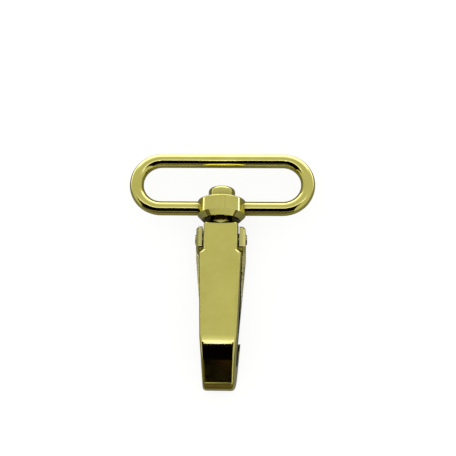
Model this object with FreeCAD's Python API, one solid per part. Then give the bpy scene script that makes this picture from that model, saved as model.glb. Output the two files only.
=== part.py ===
import FreeCAD, Part
import math
import os
from FreeCAD import Vector

# Swivel snap hook for a 38 mm strap. Millimetres.
# While it is drawn, the swivel axis is Y, X runs along the strap loop and Z comes out of the front plate.
# At the end the whole hook is laid on its back, as it comes to rest, with the floor at Z = 0.

# Strap loop
strap_width = 38.0
loop_gap = 8.8
loop_bar = 3.4

# Swivel collar, a ring on the lower bar of the loop
collar_radius = 5.75
collar_half_height = 1.8
collar_rounding = 0.35
skirt_height = 1.2
skirt_radius = 4.6
skirt_rim = 0.5

# Stem and upset head of the hook, running in the collar
stem_radius = 2.65
swivel_clearance = 0.08
head_radius = 3.2
head_height = 3.1
head_rounding = 0.95
axial_play = 0.1

# Neck
neck_top = 3.7
neck_width = 8.1
neck_depth = 5.4
neck_rounding = 0.95
neck_back_length = 5.3

# Plate
shoulder_at = 10.7
shoulder_drop = 0.7
plate_flare = 1.3
plate_thickness = 2.3

# Hook bend and nose
bend_at = 34.4
bend_radius = 9.0
slant_angle = 36.4
bottom_radius = 3.5
bend_width = 8.6
bottom_taper = 1.3
draft_angle = 3.1
edge_rounding = 0.95
slant_thickness = 2.6
inner_bend_radius = 5.0
eye_radius = 1.7
nose_at = 31.5
nose_depth = 10.6
nose_thickness = 2.5
rear_angle = 6.5
lip_thickness = 1.15
lip_length = 2.0
nose_rounding = 0.2

# Gate pivot
pivot_at = 7.4
pivot_depth = 4.2
pin_radius = 0.9
pin_clearance = 0.06
pin_head_radius = 1.2
pin_head_height = 0.3
lug_radius = 1.85
lug_clearance = 0.25

# Gate
gate_wall = 1.45
cheek_clearance = 0.35
gate_back_wall = 1.2
gate_end_width = 8.2
gate_end_thickness = 2.1
gate_taper_from = 12.0
gate_end_gap = 0.4
gate_seat_gap = 0.05
gate_flush_step = 0.05
gate_chamfer = 0.6
ear_top = 4.7
ear_setback = 1.4
ear_bottom = 9.9
ear_rounding = 0.8
web_at = 11.4
web_setback = 1.15
pocket_end = 19.5

# Return spring
spring_wire = 0.5
spring_mean_radius = 1.6
spring_half_length = 0.75
spring_turns = 2
spring_leg = 5.6
spring_leg_gap = 0.05
spring_room = 0.3

# Derived levels, all measured from the swivel axis and from the middle of the collar
gate_width = neck_width + 2 * (cheek_clearance + gate_wall)
plate_width = bend_width + plate_flare
bottom_width = bend_width - bottom_taper
plate_front = neck_depth / 2
plate_back = plate_front - plate_thickness
pivot_z = plate_front - pivot_depth
gate_lobe = lug_radius + lug_clearance + gate_back_wall
pocket_lobe = lug_radius + lug_clearance
nose_z = plate_front - nose_depth
loop_half_straight = (strap_width - loop_gap) / 2
bar_spacing = loop_gap + loop_bar

# How far a cutting body runs past the piece that it trims, and how near two curves count as one
overrun = 1.0
near = 0.005


def line_cross(a, a_angle, b, b_angle):
    """Point where two lines cross. Each line is a point (y, z) and its fall in degrees below -Y."""
    ay, az = a
    by, bz = b
    ua, va = -math.cos(math.radians(a_angle)), -math.sin(math.radians(a_angle))
    ub, vb = -math.cos(math.radians(b_angle)), -math.sin(math.radians(b_angle))
    s = ((by - ay) * vb - (bz - az) * ub) / (ua * vb - va * ub)
    return ay + s * ua, az + s * va


def offset_point(point, angle, distance):
    """Point moved square to a falling line, towards the inside of the hook."""
    y, z = point
    return y + distance * math.sin(math.radians(angle)), z - distance * math.cos(math.radians(angle))


def rounded_wire(corners):
    """Closed wire in the YZ plane through corners (y, z, radius)."""
    count = len(corners)
    edges = []
    starts = []
    ends = []
    middles = []
    for i in range(count):
        y, z, radius = corners[i]
        here = Vector(0, y, z)
        before = Vector(0, corners[i - 1][0], corners[i - 1][1])
        after = Vector(0, corners[(i + 1) % count][0], corners[(i + 1) % count][1])
        back = (before - here).normalize()
        ahead = (after - here).normalize()
        half = back.getAngle(ahead) / 2
        reach = radius / math.tan(half) if radius else 0.0
        starts.append(here + back * reach)
        ends.append(here + ahead * reach)
        bisector = (back + ahead).normalize() if radius else back
        middles.append(here + bisector * (radius / math.sin(half) - radius))
    for i in range(count):
        if corners[i][2]:
            edges.append(Part.Arc(starts[i], middles[i], ends[i]).toShape())
        following = starts[(i + 1) % count]
        if ends[i].distanceToPoint(following) > near:
            edges.append(Part.LineSegment(ends[i], following).toShape())
    return Part.Wire(edges)


def side_solid(corners, width):
    """A side outline, extruded evenly to both sides of the middle plane."""
    face = Part.Face(rounded_wire(corners))
    face.translate(Vector(-width / 2, 0, 0))
    return face.extrude(Vector(width, 0, 0))


def plan_solid(points, low, high):
    """A front-view outline of points (x, y), extruded from one level to another."""
    wire = Part.makePolygon([Vector(x, y, low) for x, y in points + points[:1]])
    return Part.Face(wire).extrude(Vector(0, 0, high - low))


def drafted_solid(points, spread, low, high):
    """A front-view outline at the upper level that grows by spread (one share per point) down to the lower."""
    wires = []
    for level, growth in ((high, 0), (low, 1)):
        half = [(x + growth * extra, y) for (x, y), extra in zip(points, spread)]
        outline = mirrored(half)
        wires.append(Part.makePolygon([Vector(x, y, level) for x, y in outline + outline[:1]]))
    return Part.makeLoft(wires, True, True)


def mirrored(points):
    """Half outline (x, y) completed to the other side."""
    return points + [(-x, y) for x, y in reversed(points)]


def cross_pin(radius, width, y, z):
    """Round bar along X, centred on the middle plane."""
    return Part.makeCylinder(radius, width, Vector(-width / 2, y, z), Vector(1, 0, 0))


def outer_edges(shape, outline):
    """Edges of a shape where its flanks meet the given side outline."""
    chosen = []
    for edge in shape.Edges:
        middle = edge.valueAt((edge.FirstParameter + edge.LastParameter) / 2)
        flat = Part.Vertex(Vector(0, middle.y, middle.z))
        if abs(middle.x) > near and flat.distToShape(outline)[0] < near:
            chosen.append(edge)
    return chosen


def make_loop_bars():
    """Round bar bent to an obround: two straight runs and two half rings."""
    bars = []
    for y in (0, bar_spacing):
        bars.append(cross_pin(loop_bar / 2, 2 * loop_half_straight, y, 0))
    for side in (1, -1):
        section = Part.Face(Part.Wire(Part.makeCircle(
            loop_bar / 2, Vector(side * loop_half_straight, 0, 0), Vector(1, 0, 0))))
        bars.append(section.revolve(
            Vector(side * loop_half_straight, bar_spacing / 2, 0), Vector(0, 0, side), 180))
    return bars[0].fuse(bars[1:])


def make_strap_loop():
    """Obround strap loop cast in one piece with its swivel collar."""
    top = collar_half_height
    low = -collar_half_height
    bore = stem_radius + swivel_clearance
    r = collar_rounding
    cut = r * (1 - math.sqrt(0.5))
    profile = [
        Part.LineSegment(Vector(0, top, 0), Vector(collar_radius - r, top, 0)),
        Part.Arc(Vector(collar_radius - r, top, 0), Vector(collar_radius - cut, top - cut, 0),
                 Vector(collar_radius, top - r, 0)),
        Part.LineSegment(Vector(collar_radius, top - r, 0), Vector(collar_radius, low, 0)),
        Part.LineSegment(Vector(collar_radius, low, 0), Vector(skirt_radius, low - skirt_height, 0)),
        Part.LineSegment(Vector(skirt_radius, low - skirt_height, 0),
                         Vector(skirt_radius - skirt_rim, low - skirt_height, 0)),
        Part.LineSegment(Vector(skirt_radius - skirt_rim, low - skirt_height, 0), Vector(bore, low, 0)),
        Part.LineSegment(Vector(bore, low, 0), Vector(0, low, 0)),
        Part.LineSegment(Vector(0, low, 0), Vector(0, top, 0)),
    ]
    face = Part.Face(Part.Wire([piece.toShape() for piece in profile]))
    collar = face.revolve(Vector(0, 0, 0), Vector(0, 1, 0), 360)
    hole = Part.makeCylinder(bore, 2 * collar_radius, Vector(0, -collar_radius, 0), Vector(0, 1, 0))
    return make_loop_bars().fuse(collar).cut(hole).removeSplitter()


def bend_start():
    """Place along the hook where the plate ends and the bend begins."""
    return -(bend_at - bend_radius * math.tan(math.radians(slant_angle / 2)))


def hook_half_width(y):
    """Half width of the hook's end, from the bend to the bottom."""
    share = (bend_start() - y) / (nose_depth - bottom_radius)
    return (bend_width + share * (bottom_width - bend_width)) / 2


def make_neck():
    """Rear of the neck, with its two pivot lugs and the room for the spring between them."""
    foot = -(shoulder_at + shoulder_drop)
    block = side_solid([
        (foot, plate_back, 0),
        (-neck_top, plate_back, 0),
        (-neck_top, -neck_depth / 2, neck_rounding),
        (-neck_top - neck_back_length, -neck_depth / 2, 0),
    ], neck_width)
    lugs = cross_pin(lug_radius, neck_width, -pivot_at, pivot_z)
    room_width = 2 * (spring_half_length + spring_wire / 2 + spring_room)
    room_top = -pivot_at + spring_mean_radius + spring_wire / 2 + spring_room
    room = Part.makeBox(room_width, room_top - foot, neck_depth,
                        Vector(-room_width / 2, foot, plate_back - neck_depth))
    bore = cross_pin(pin_radius + pin_clearance, gate_width, -pivot_at, pivot_z)
    return block.fuse(lugs).cut(room).cut(bore)


def make_hook():
    """Front of the neck, shoulders, plate, bend, bottom and nose with its stepped lip, flanks drafted."""
    foot = -(shoulder_at + shoulder_drop)
    start = bend_start()
    bend = (-bend_at, plate_front)
    nose_rear = (-nose_at, nose_z)
    bottom = line_cross(bend, slant_angle, nose_rear, rear_angle)
    inner = offset_point(bend, slant_angle, slant_thickness)
    inner_bend = line_cross(inner, slant_angle, (start, plate_back), 0)
    nose_inner = nose_z + nose_thickness
    eye = line_cross(inner, slant_angle, (start, nose_inner), 0)
    lip = nose_z + lip_thickness
    corners = [
        (-neck_top, plate_back, 0),
        (-neck_top, plate_front, neck_rounding),
        (bend[0], bend[1], bend_radius),
        (bottom[0], bottom[1], bottom_radius),
        (nose_rear[0], nose_rear[1], 0),
        (-nose_at, lip, nose_rounding),
        (-nose_at - lip_length, lip, 0),
        (-nose_at - lip_length, nose_inner, nose_rounding),
        (eye[0], eye[1], eye_radius),
        (inner_bend[0], inner_bend[1], inner_bend_radius),
    ]
    reach = start - 2 * nose_depth
    low = nose_z - bottom_radius
    grown = (plate_front - low) * math.tan(math.radians(draft_angle))
    flanks = drafted_solid([
        (neck_width / 2, 0),
        (neck_width / 2, -shoulder_at),
        (plate_width / 2, foot),
        (bend_width / 2, start),
        (hook_half_width(reach), reach),
    ], [0, 0, grown, grown, grown], low, plate_front)
    solid = side_solid(corners, 2 * plate_width).common(flanks)
    outside = Part.Wire(rounded_wire(corners).Edges[:7])
    return solid.makeFillet(edge_rounding, outer_edges(solid, outside))


def make_hook_body():
    """Plate, hook, neck, stem and head: one casting, its head upset over the collar."""
    stem_foot = -neck_top - neck_rounding
    head_foot = collar_half_height + axial_play
    head_top = head_foot + head_height
    r = head_rounding
    cut = r * (1 - math.sqrt(0.5))
    profile = [
        Part.LineSegment(Vector(0, stem_foot, 0), Vector(stem_radius, stem_foot, 0)),
        Part.LineSegment(Vector(stem_radius, stem_foot, 0), Vector(stem_radius, head_foot, 0)),
        Part.LineSegment(Vector(stem_radius, head_foot, 0), Vector(head_radius, head_foot, 0)),
        Part.LineSegment(Vector(head_radius, head_foot, 0), Vector(head_radius, head_top - r, 0)),
        Part.Arc(Vector(head_radius, head_top - r, 0), Vector(head_radius - cut, head_top - cut, 0),
                 Vector(head_radius - r, head_top, 0)),
        Part.LineSegment(Vector(head_radius - r, head_top, 0), Vector(0, head_top, 0)),
        Part.LineSegment(Vector(0, head_top, 0), Vector(0, stem_foot, 0)),
    ]
    face = Part.Face(Part.Wire([piece.toShape() for piece in profile]))
    stem = face.revolve(Vector(0, 0, 0), Vector(0, 1, 0), 360)
    return make_hook().fuse([make_neck(), stem]).removeSplitter()


def gate_half_width(y):
    """Half width of the gate at a place along the hook."""
    end = -(nose_at + lip_length - gate_end_gap)
    if y > -gate_taper_from:
        return gate_width / 2
    share = (-gate_taper_from - y) / (-gate_taper_from - end)
    return (gate_width + share * (gate_end_width - gate_width)) / 2


def gate_line():
    """End of the gate's rear line and its fall in degrees, tangent to the lobe round the pivot."""
    end_y = -(nose_at - gate_end_gap)
    end_z = nose_z + gate_flush_step
    run_y = -pivot_at - end_y
    run_z = pivot_z - end_z
    lean = math.asin(gate_lobe / math.hypot(run_y, run_z))
    return end_y, end_z, math.degrees(math.atan2(run_z, run_y) - lean)


def make_gate():
    """Push gate: two cheeks round the neck, a pocket for the spring and a solid end on the nose lip."""
    end_y, end_z, fall = gate_line()
    tip = -(nose_at + lip_length - gate_end_gap)
    lip_face = nose_z + lip_thickness + gate_seat_gap
    front_end = end_z + gate_end_thickness
    top = line_cross((end_y, end_z), fall, (-ear_top, pivot_z), 90)
    corners = [
        (tip, front_end, ear_rounding / 2),
        (-web_at, plate_back - web_setback, 0),
        (-ear_bottom, plate_front - ear_setback, ear_rounding),
        (-ear_top, plate_front - ear_setback, ear_rounding),
        (top[0], top[1], pivot_at - ear_top),
        (end_y, end_z, 0),
        (end_y, lip_face, 0),
        (tip, lip_face, 0),
    ]
    solid = side_solid(corners, gate_width)
    flanks = plan_solid(mirrored([
        (gate_width / 2, 0),
        (gate_width / 2, -gate_taper_from),
        (gate_half_width(tip - overrun), tip - overrun),
    ]), nose_z - gate_lobe, plate_front)
    solid = solid.common(flanks)
    rear = Part.Wire(rounded_wire(corners).Edges[6:9])
    solid = solid.makeChamfer(gate_chamfer, outer_edges(solid, rear))
    return solid.cut(make_pocket(fall)).cut(cross_pin(pin_radius, gate_width, -pivot_at, pivot_z))


def make_pocket(fall):
    """Room between the cheeks for the neck and the spring, open towards the plate."""
    turn = math.radians(fall)
    floor_start = (-pivot_at + pocket_lobe * math.sin(turn), pivot_z - pocket_lobe * math.cos(turn))
    floor_end = line_cross(floor_start, fall, (-pocket_end, 0), 90)
    wall_top = -ear_top - gate_chamfer
    pocket_foot = -pocket_end - overrun
    side = side_solid([
        (0, plate_front, 0),
        (0, nose_z, 0),
        (wall_top, nose_z, 0),
        (wall_top, -neck_depth / 2 - lug_clearance, 0),
        (floor_start[0], floor_start[1], 0),
        (floor_end[0], floor_end[1], 0),
        (-pocket_end, plate_front, 0),
    ], gate_width)
    plan = plan_solid(mirrored([
        (gate_width / 2 - gate_wall, overrun),
        (gate_width / 2 - gate_wall, -gate_taper_from),
        (gate_half_width(pocket_foot) - gate_wall, pocket_foot),
    ]), nose_z - overrun, plate_front + overrun)
    return side.common(plan)


def make_gate_pin():
    """Pivot pin, peened over both cheeks."""
    shaft = cross_pin(pin_radius, gate_width, -pivot_at, pivot_z)
    right = Part.makeCylinder(pin_head_radius, pin_head_height,
                              Vector(gate_width / 2, -pivot_at, pivot_z), Vector(1, 0, 0))
    left = Part.makeCylinder(pin_head_radius, pin_head_height,
                             Vector(-gate_width / 2, -pivot_at, pivot_z), Vector(-1, 0, 0))
    return shaft.fuse([right, left]).removeSplitter()


def make_gate_spring():
    """Torsion spring on the pin, one leg on the back of the plate and one in the gate's pocket."""
    fall = gate_line()[2]
    reach = pocket_lobe - spring_wire / 2 - spring_leg_gap
    lean = math.radians(fall) + math.asin((reach - spring_mean_radius) / spring_leg)
    turned = 360 * spring_turns + 180 - math.degrees(lean)
    pitch = 2 * spring_half_length * 360 / turned
    helix = Part.makeHelix(pitch, 2 * spring_half_length, spring_mean_radius)
    start = Vector(spring_mean_radius, 0, 0)
    end_angle = math.radians(turned)
    end = Vector(spring_mean_radius * math.cos(end_angle), spring_mean_radius * math.sin(end_angle),
                 2 * spring_half_length)
    plate_leg_tip = start - Vector(0, spring_leg, 0)
    gate_leg_tip = end + Vector(-math.sin(end_angle), math.cos(end_angle), 0) * spring_leg
    first = Part.LineSegment(plate_leg_tip, start).toShape()
    last = Part.LineSegment(end, gate_leg_tip).toShape()
    section = Part.Wire(Part.makeCircle(spring_wire / 2, plate_leg_tip, Vector(0, 1, 0)))
    spring = Part.Wire([first] + helix.Edges + [last]).makePipeShell([section], True, True)
    spring.rotate(Vector(0, 0, 0), Vector(0, 1, 0), -90)
    spring.translate(Vector(spring_half_length, -pivot_at, pivot_z))
    return spring


def rest_tilt():
    """Lean in degrees of the floor line that touches the collar's rear edge and the hook's round bottom."""
    bottom = line_cross((-bend_at, plate_front), slant_angle, (-nose_at, nose_z), rear_angle)
    half_turn = math.radians(90 - (slant_angle - rear_angle) / 2)
    reach = bottom_radius * math.tan(half_turn)
    touch_y = bottom[0] + reach * math.cos(math.radians(rear_angle))
    touch_z = bottom[1] + reach * math.sin(math.radians(rear_angle))
    centre_y, centre_z = offset_point((touch_y, touch_z), rear_angle, -bottom_radius)
    run_y = collar_half_height - collar_rounding - centre_y
    run_z = -collar_radius + collar_rounding - centre_z
    lean = math.asin((bottom_radius - collar_rounding) / math.hypot(run_y, run_z))
    return math.degrees(math.atan2(run_z, run_y) + lean)


def lay_down(pieces):
    """Turn the hook onto its back, floor at Z = 0 and the middle of its length at Y = 0."""
    tilt = rest_tilt()
    for shape in pieces.values():
        shape.rotate(Vector(0, 0, 0), Vector(1, 0, 0), -tilt)
    boxes = [shape.optimalBoundingBox(False, True) for shape in pieces.values()]
    middle = (max(box.YMax for box in boxes) + min(box.YMin for box in boxes)) / 2
    floor = min(box.ZMin for box in boxes)
    for shape in pieces.values():
        shape.translate(Vector(0, -middle, -floor))
    return tilt, middle, floor


pieces = {
    "strap_loop": make_strap_loop(),
    "hook_body": make_hook_body(),
    "gate": make_gate(),
    "gate_pin": make_gate_pin(),
    "gate_spring": make_gate_spring(),
}
tilt, middle, floor = lay_down(pieces)
os.makedirs("parts", exist_ok=True)
for name, shape in pieces.items():
    shape.exportStep(f"parts/{name}.step")
print(f"tilt {tilt:.3f} degrees, moved {-middle:.3f} along Y and {-floor:.3f} up")
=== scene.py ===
import math

import bpy
from mathutils import Matrix, Vector

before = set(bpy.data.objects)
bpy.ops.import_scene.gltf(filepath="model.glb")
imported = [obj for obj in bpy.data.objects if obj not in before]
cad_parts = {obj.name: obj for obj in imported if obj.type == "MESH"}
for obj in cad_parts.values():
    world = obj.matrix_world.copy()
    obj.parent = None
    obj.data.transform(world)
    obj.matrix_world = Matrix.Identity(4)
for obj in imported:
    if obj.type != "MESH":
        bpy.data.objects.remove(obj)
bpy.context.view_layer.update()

# Camera, at the photograph's viewing angle. Lengths in metres, angles in degrees.
camera_aim = Vector((0.00152, 0.0103, 0.004))
camera_distance = 0.252
camera_azimuth = 11.3
camera_elevation = 76.18
camera_roll = -10.62
camera_lens = 82.8
camera_sensor = 36.0

# Studio. Panels stand on a ring round the swivel axis: their angle is measured from straight up,
# towards the strap loop. A strength of 1 is white.
ring_centre = Vector((0.0, 0.0, 0.005))
ring_radius = 1.2
panel_steps = 32
card_gap = 0.02
floor_card_height = 0.0006
floor_size = 6.0
world_level = 0.60
floor_colour = (0.32, 0.32, 0.31)
floor_lift = 0.84
floor_in_metal = 0.05

# Where one panel ends and the next one begins, in degrees from straight up
back_edge = 89.5
box_edge = 50.0
sky_edge = 16.0
card_edge = -4.6
bend_edge = -9.0
apron_edge = -62.0

# Places of the panels' ends along X, and of the floor cards' near and far sides along Y
box_sides = (-1.0, 1.0)
card_sides = (-1.7, 0.7)
bend_sides = (-0.088, -0.042)
glint_sides = (-0.058, -0.044)
glint_angles = (-57.4, -58.9)
floor_card_near = 0.034
floor_card_far = 1.2

# Levels from each panel's near edge to its far edge
back_levels = (0.7, 1.2, 2.0, 2.2)
sky_levels = (0.60, 0.60, 0.60)
sky_mottle = 0.12
strip_levels = (2.1, 1.2, 0.9, 0.78, 0.68, 0.6)
bend_levels = (2.1, 2.1)
card_levels = (0.001, 0.001)
glint_levels = (0.14, 0.05, 0.02)
apron_levels = (0.05, 0.10, 0.10, 0.10)
apron_floor_levels = (0.10, 0.10)
far_floor_levels = (1.8, 2.2)

# Arch: its crown along X and in degrees, its fall per metre squared, half its width in degrees
arch_crown = (-0.07, -64.1)
arch_fall = 20.5
arch_half_width = 2.0
arch_sides = (-0.95, 0.85)
arch_level = 0.6

# Colours of the panels. Blue is raised by cream_blue between the two levels of cream_from.
white = (1.0, 1.0, 1.0)
card_black = (1.0, 0.6, 0.4)
glint_brown = (1.0, 0.36, 0.15)
apron_brown = (1.0, 0.76, 0.42)
cream_blue = 1.45
cream_from = (0.75, 1.0)

# Patterns: patches per metre, detail and roughness of each noise
panel_patches = (14.0, 2.0, 0.5)
plating_clouds = (260.0, 3.0, 0.55)
smears = (420.0, 4.0, 0.6)
hairlines = (1500.0, 2.0, 0.5)
ripples = (210.0, 1.0, 0.4)
pits = (5200.0, 2.0, 0.5)
hairline_stretch = (6.0, 0.35, 6.0)
hairline_turn = 0.35
hairline_dullness = 0.03

# Metals: colours, how the plating changes where it is thick or rubbed, and the painted shade that darkens
# recesses
plate_colour = (0.80, 0.745, 0.20)
pin_colour = (0.74, 0.68, 0.24)
steel_colour = (0.46, 0.45, 0.44)
thick_tint = (0.94, 0.92, 0.82)
rubbed_colour = (0.86, 0.83, 0.48)
# Painted shade in recesses: its dark colour, how far the occlusion looks, and how much it darkens
recess_shade_colour = (0.10, 0.075, 0.02)
shade_reach = 0.003
shade_share = 0.8


def new_material(name):
    """Empty node material with its output node."""
    material = bpy.data.materials.new(name)
    material.use_nodes = True
    material.node_tree.nodes.clear()
    output = material.node_tree.nodes.new("ShaderNodeOutputMaterial")
    return material, material.node_tree, output


def noise(tree, coordinate, pattern):
    """Noise texture in object space."""
    scale, detail, roughness = pattern
    node = tree.nodes.new("ShaderNodeTexNoise")
    node.inputs["Scale"].default_value = scale
    node.inputs["Detail"].default_value = detail
    node.inputs["Roughness"].default_value = roughness
    tree.links.new(coordinate, node.inputs["Vector"])
    return node.outputs["Fac"]


def ramp(tree, value, stops):
    """Colour ramp through (position, grey or colour) stops."""
    node = tree.nodes.new("ShaderNodeValToRGB")
    elements = node.color_ramp.elements
    while len(elements) < len(stops):
        elements.new(0.5)
    for element, (position, colour) in zip(elements, stops):
        element.position = position
        element.color = (*colour, 1.0) if isinstance(colour, tuple) else (colour, colour, colour, 1.0)
    tree.links.new(value, node.inputs["Fac"])
    return node.outputs["Color"]


def towards(tree, share, colour, other):
    """Colour socket or plain colour, mixed towards another plain colour by a share."""
    node = tree.nodes.new("ShaderNodeMix")
    node.data_type = "RGBA"
    if isinstance(colour, tuple):
        node.inputs["A"].default_value = (*colour, 1.0)
    else:
        tree.links.new(colour, node.inputs["A"])
    node.inputs["B"].default_value = (*other, 1.0)
    tree.links.new(share, node.inputs["Factor"])
    return node.outputs["Result"]


def plating(tree, place, colour, wear):
    """Colour of the plating: it varies a little, is paler on rubbed edges, and has painted shade darkening
    its recesses.
    """
    thick = tuple(c * k for c, k in zip(colour, thick_tint))
    clouds = ramp(tree, noise(tree, place, plating_clouds), [(0.35, 0.0), (0.7, 1.0)])
    shade = towards(tree, clouds, colour, thick)
    edges = tree.nodes.new("ShaderNodeNewGeometry").outputs["Pointiness"]
    rubbed = towards(tree, ramp(tree, edges, [(0.53, 0.0), (0.62, wear)]), shade, rubbed_colour)
    # Painted shade: ambient occlusion darkens recesses and the gaps between parts towards a dark brown
    occlusion = tree.nodes.new("ShaderNodeAmbientOcclusion")
    occlusion.samples = 8
    occlusion.inputs["Distance"].default_value = shade_reach
    painted_shade = ramp(tree, occlusion.outputs["AO"], [(0.45, shade_share), (0.9, 0.0)])
    return towards(tree, painted_shade, rubbed, recess_shade_colour)


def polish(tree, place, roughness):
    """Roughness of a clean polish with faint smears and dull hairlines."""
    stretch = tree.nodes.new("ShaderNodeMapping")
    stretch.inputs["Scale"].default_value = hairline_stretch
    stretch.inputs["Rotation"].default_value = (0.0, 0.0, hairline_turn)
    tree.links.new(place, stretch.inputs["Vector"])
    hairs = ramp(tree, noise(tree, stretch.outputs["Vector"], hairlines), [(0.68, 0.0), (0.74, 1.0)])
    level = tree.nodes.new("ShaderNodeMapRange")
    level.inputs["To Min"].default_value = roughness * 0.7
    level.inputs["To Max"].default_value = roughness * 1.5
    tree.links.new(noise(tree, place, smears), level.inputs["Value"])
    dull = tree.nodes.new("ShaderNodeMath")
    dull.operation = "MULTIPLY_ADD"
    dull.inputs[1].default_value = hairline_dullness
    tree.links.new(hairs, dull.inputs[0])
    tree.links.new(level.outputs["Result"], dull.inputs[2])
    return dull.outputs["Value"]


def relief(tree, place, pattern, depth, below=None):
    """Bump of a noise, on top of the relief below it."""
    node = tree.nodes.new("ShaderNodeBump")
    node.inputs["Strength"].default_value = 1.0
    node.inputs["Distance"].default_value = depth
    tree.links.new(noise(tree, place, pattern), node.inputs["Height"])
    if below:
        tree.links.new(below, node.inputs["Normal"])
    return node.outputs["Normal"]


def metal(name, colour, roughness, ripple_depth, pit_depth, wear):
    """Plated metal: slow ripples from the buffing wheel, fine pits, hairline scratches and rubbed edges."""
    material, tree, output = new_material(name)
    shader = tree.nodes.new("ShaderNodeBsdfPrincipled")
    shader.inputs["Metallic"].default_value = 1.0
    place = tree.nodes.new("ShaderNodeTexCoord").outputs["Object"]
    tree.links.new(plating(tree, place, colour, wear), shader.inputs["Base Color"])
    tree.links.new(polish(tree, place, roughness), shader.inputs["Roughness"])
    buffed = relief(tree, place, ripples, ripple_depth)
    tree.links.new(relief(tree, place, pits, pit_depth, buffed), shader.inputs["Normal"])
    tree.links.new(shader.outputs["BSDF"], output.inputs["Surface"])
    return material


def panel_material(name, colour, mottle):
    """Glow of a soft box or card: its level along the panel, softly mottled."""
    material, tree, output = new_material(name)
    level = tree.nodes.new("ShaderNodeAttribute")
    level.attribute_name = "level"
    place = tree.nodes.new("ShaderNodeTexCoord").outputs["Object"]
    share = tree.nodes.new("ShaderNodeMapRange")
    share.inputs["From Min"].default_value = 0.3
    share.inputs["From Max"].default_value = 0.7
    share.inputs["To Min"].default_value = cream_blue * (1.0 - mottle)
    share.inputs["To Max"].default_value = cream_blue * (1.0 + mottle)
    tree.links.new(noise(tree, place, panel_patches), share.inputs["Value"])
    strength = tree.nodes.new("ShaderNodeMath")
    strength.operation = "MULTIPLY"
    tree.links.new(level.outputs["Fac"], strength.inputs[0])
    tree.links.new(share.outputs["Result"], strength.inputs[1])

    # The brightest parts are cooler, so that the gold shows them as cream
    plain = tuple(c / cream_blue for c in colour)
    cool = (plain[0], plain[1], colour[2])
    tint = ramp(tree, level.outputs["Fac"], list(zip(cream_from, (plain, cool))))
    glow = tree.nodes.new("ShaderNodeEmission")
    tree.links.new(tint, glow.inputs["Color"])
    tree.links.new(strength.outputs["Value"], glow.inputs["Strength"])
    tree.links.new(glow.outputs["Emission"], output.inputs["Surface"])
    return material


def level_between(levels, share):
    """Level at a share of the way along evenly spaced levels."""
    at = share * (len(levels) - 1)
    i = min(int(at), len(levels) - 2)
    return levels[i] + (at - i) * (levels[i + 1] - levels[i])


def add_card(name, rows, colour, levels, mottle=0.0):
    """Glowing strip through rows of two corners, seen only in the metal."""
    mesh = bpy.data.meshes.new(name)
    corners = [corner for row in rows for corner in row]
    last = len(rows) - 1
    glow = [level_between(levels, i // 2 / last) for i in range(2 * len(rows))]
    faces = [(2 * i, 2 * i + 1, 2 * i + 3, 2 * i + 2) for i in range(last)]
    mesh.from_pydata(corners, [], faces)
    mesh.attributes.new("level", "FLOAT", "POINT").data.foreach_set("value", glow)
    card = bpy.data.objects.new(name, mesh)
    bpy.context.scene.collection.objects.link(card)
    mesh.materials.append(panel_material(name + "_glow", colour, mottle))
    card.visible_camera = False
    card.visible_shadow = False
    card.visible_diffuse = False


def ring_corner(x, angle, radius):
    """Point of the studio's ring, at an angle from straight up."""
    turn = math.radians(angle)
    return (x, ring_centre.y + radius * math.sin(turn), ring_centre.z + radius * math.cos(turn))


def steps_between(start, end):
    """Evenly spaced values along a panel."""
    return [start + i / panel_steps * (end - start) for i in range(panel_steps + 1)]


def add_panel(name, angles, sides, colour, levels, mottle=0.0, nearer=0.0):
    """Curved panel on the studio's ring, between two angles and two places along X."""
    radius = ring_radius - nearer
    rows = [[ring_corner(x, angle, radius) for x in sides] for angle in steps_between(*angles)]
    add_card(name, rows, colour, levels, mottle)


def add_arch():
    """Narrow arched light in front of the cards: the collar's skirt shows it as a pale front."""
    crown_x, crown_angle = arch_crown
    radius = ring_radius - card_gap
    rows = []
    for x in steps_between(*arch_sides):
        angle = crown_angle - arch_fall * (x - crown_x) ** 2
        rows.append([ring_corner(x, angle + side * arch_half_width, radius) for side in (-1, 1)])
    add_card("arch", rows, white, (arch_level, arch_level))


def add_floor_card(name, near_y, far_y, sides, colour, levels):
    """Strip just above the floor that stands in for the floor in the metal."""
    rows = [[(x, y, floor_card_height) for x in sides] for y in steps_between(near_y, far_y)]
    add_card(name, rows, colour, levels)


def background_level(tree, seen, in_metal):
    """One level for rays from the camera or through glass, another for rays seen in metal."""
    path = tree.nodes.new("ShaderNodeLightPath")
    direct = tree.nodes.new("ShaderNodeMath")
    direct.operation = "MAXIMUM"
    tree.links.new(path.outputs["Is Camera Ray"], direct.inputs[0])
    tree.links.new(path.outputs["Is Transmission Ray"], direct.inputs[1])
    first = tree.nodes.new("ShaderNodeMath")
    first.operation = "MULTIPLY"
    first.inputs[1].default_value = seen
    tree.links.new(direct.outputs["Value"], first.inputs[0])
    both = tree.nodes.new("ShaderNodeMath")
    both.operation = "MULTIPLY_ADD"
    both.inputs[1].default_value = in_metal
    tree.links.new(path.outputs["Is Glossy Ray"], both.inputs[0])
    tree.links.new(first.outputs["Value"], both.inputs[2])
    return both.outputs["Value"]


def make_floor():
    """White table: it keeps the object's shadow, and a little glow lifts it to white."""
    mesh = bpy.data.meshes.new("floor")
    h = floor_size / 2
    mesh.from_pydata([(-h, -h, 0), (h, -h, 0), (h, h, 0), (-h, h, 0)], [], [(0, 1, 2, 3)])
    floor = bpy.data.objects.new("floor", mesh)
    bpy.context.scene.collection.objects.link(floor)
    material, tree, output = new_material("floor_paper")
    paper = tree.nodes.new("ShaderNodeBsdfDiffuse")
    paper.inputs["Color"].default_value = (*floor_colour, 1.0)
    glow = tree.nodes.new("ShaderNodeEmission")
    tree.links.new(background_level(tree, floor_lift, floor_in_metal), glow.inputs["Strength"])
    both = tree.nodes.new("ShaderNodeAddShader")
    tree.links.new(paper.outputs["BSDF"], both.inputs[0])
    tree.links.new(glow.outputs["Emission"], both.inputs[1])
    tree.links.new(both.outputs["Shader"], output.inputs["Surface"])
    mesh.materials.append(material)


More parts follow.
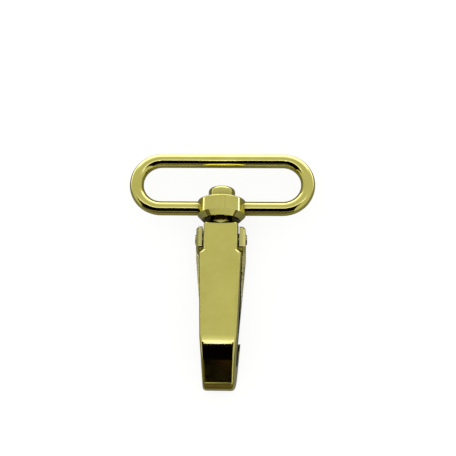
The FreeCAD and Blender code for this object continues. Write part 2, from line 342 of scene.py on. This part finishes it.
def make_world():
    """Even grey room, seen as white by the camera."""
    world = bpy.data.worlds.new("studio")
    bpy.context.scene.world = world
    world.use_nodes = True
    tree = world.node_tree
    tree.nodes.clear()
    output = tree.nodes.new("ShaderNodeOutputWorld")
    room = tree.nodes.new("ShaderNodeBackground")
    room.inputs["Color"].default_value = (*white, 1.0)
    path = tree.nodes.new("ShaderNodeLightPath")
    level = tree.nodes.new("ShaderNodeMapRange")
    level.inputs["To Min"].default_value = world_level
    level.inputs["To Max"].default_value = 1.0
    tree.links.new(path.outputs["Is Camera Ray"], level.inputs["Value"])
    tree.links.new(level.outputs["Result"], room.inputs["Strength"])
    tree.links.new(room.outputs["Background"], output.inputs["Surface"])


def make_studio():
    """Soft boxes behind and overhead, and dark cards on the camera's side."""
    make_floor()
    make_world()
    add_panel("back_box", (box_edge, back_edge), box_sides, white, back_levels)
    add_panel("sky", (sky_edge, box_edge), box_sides, white, sky_levels, mottle=sky_mottle)
    add_panel("top_strip", (card_edge, sky_edge), box_sides, white, strip_levels)
    add_panel("bend_strip", (bend_edge, card_edge), bend_sides, white, bend_levels, nearer=card_gap)
    add_panel("dark_card", (card_edge, apron_edge), card_sides, card_black, card_levels)
    add_panel("glint", glint_angles, glint_sides, glint_brown, glint_levels, nearer=card_gap)
    add_panel("apron", (apron_edge, -back_edge), card_sides, apron_brown, apron_levels)
    add_arch()
    add_floor_card("apron_floor", -floor_card_near, -floor_card_far, card_sides, apron_brown,
                   apron_floor_levels)
    add_floor_card("far_floor", floor_card_near, floor_card_far, box_sides, white, far_floor_levels)


def make_camera():
    """Camera aimed at the hook, rolled as in the photograph."""
    az = math.radians(camera_azimuth)
    el = math.radians(camera_elevation)
    away = Vector((math.cos(el) * math.sin(az), -math.cos(el) * math.cos(az), math.sin(el)))
    right = (-away).cross(Vector((0.0, 0.0, 1.0))).normalized()
    up = right.cross(-away)
    roll = math.radians(camera_roll)
    rolled_right = math.cos(roll) * right + math.sin(roll) * up
    rolled_up = math.cos(roll) * up - math.sin(roll) * right
    data = bpy.data.cameras.new("camera")
    data.lens = camera_lens
    data.sensor_width = camera_sensor
    data.sensor_fit = "HORIZONTAL"
    data.clip_start = 0.01
    data.clip_end = 20.0
    camera = bpy.data.objects.new("camera", data)
    bpy.context.scene.collection.objects.link(camera)
    turn = Matrix((rolled_right, rolled_up, away)).transposed().to_4x4()
    camera.matrix_world = Matrix.Translation(camera_aim + away * camera_distance) @ turn
    bpy.context.scene.camera = camera


def dress(node, material):
    """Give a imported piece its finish."""
    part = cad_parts[node]
    part.data.materials.clear()
    part.data.materials.append(material)


bpy.context.scene.view_settings.view_transform = "Standard"
make_camera()
make_studio()

# Each metal's colour, roughness, depths of its ripples and pits in metres, and wear of its edges
gold = metal("gold_plate", plate_colour, 0.07, 8e-6, 8e-8, 0.35)
pin_metal = metal("plated_pin", pin_colour, 0.16, 8e-6, 1e-6, 0.5)
steel = metal("spring_steel", steel_colour, 0.24, 4e-6, 1e-6, 0.2)
for node in ("strap_loop", "hook_body", "gate"):
    dress(node, gold)
dress("gate_pin", pin_metal)
dress("gate_spring", steel)
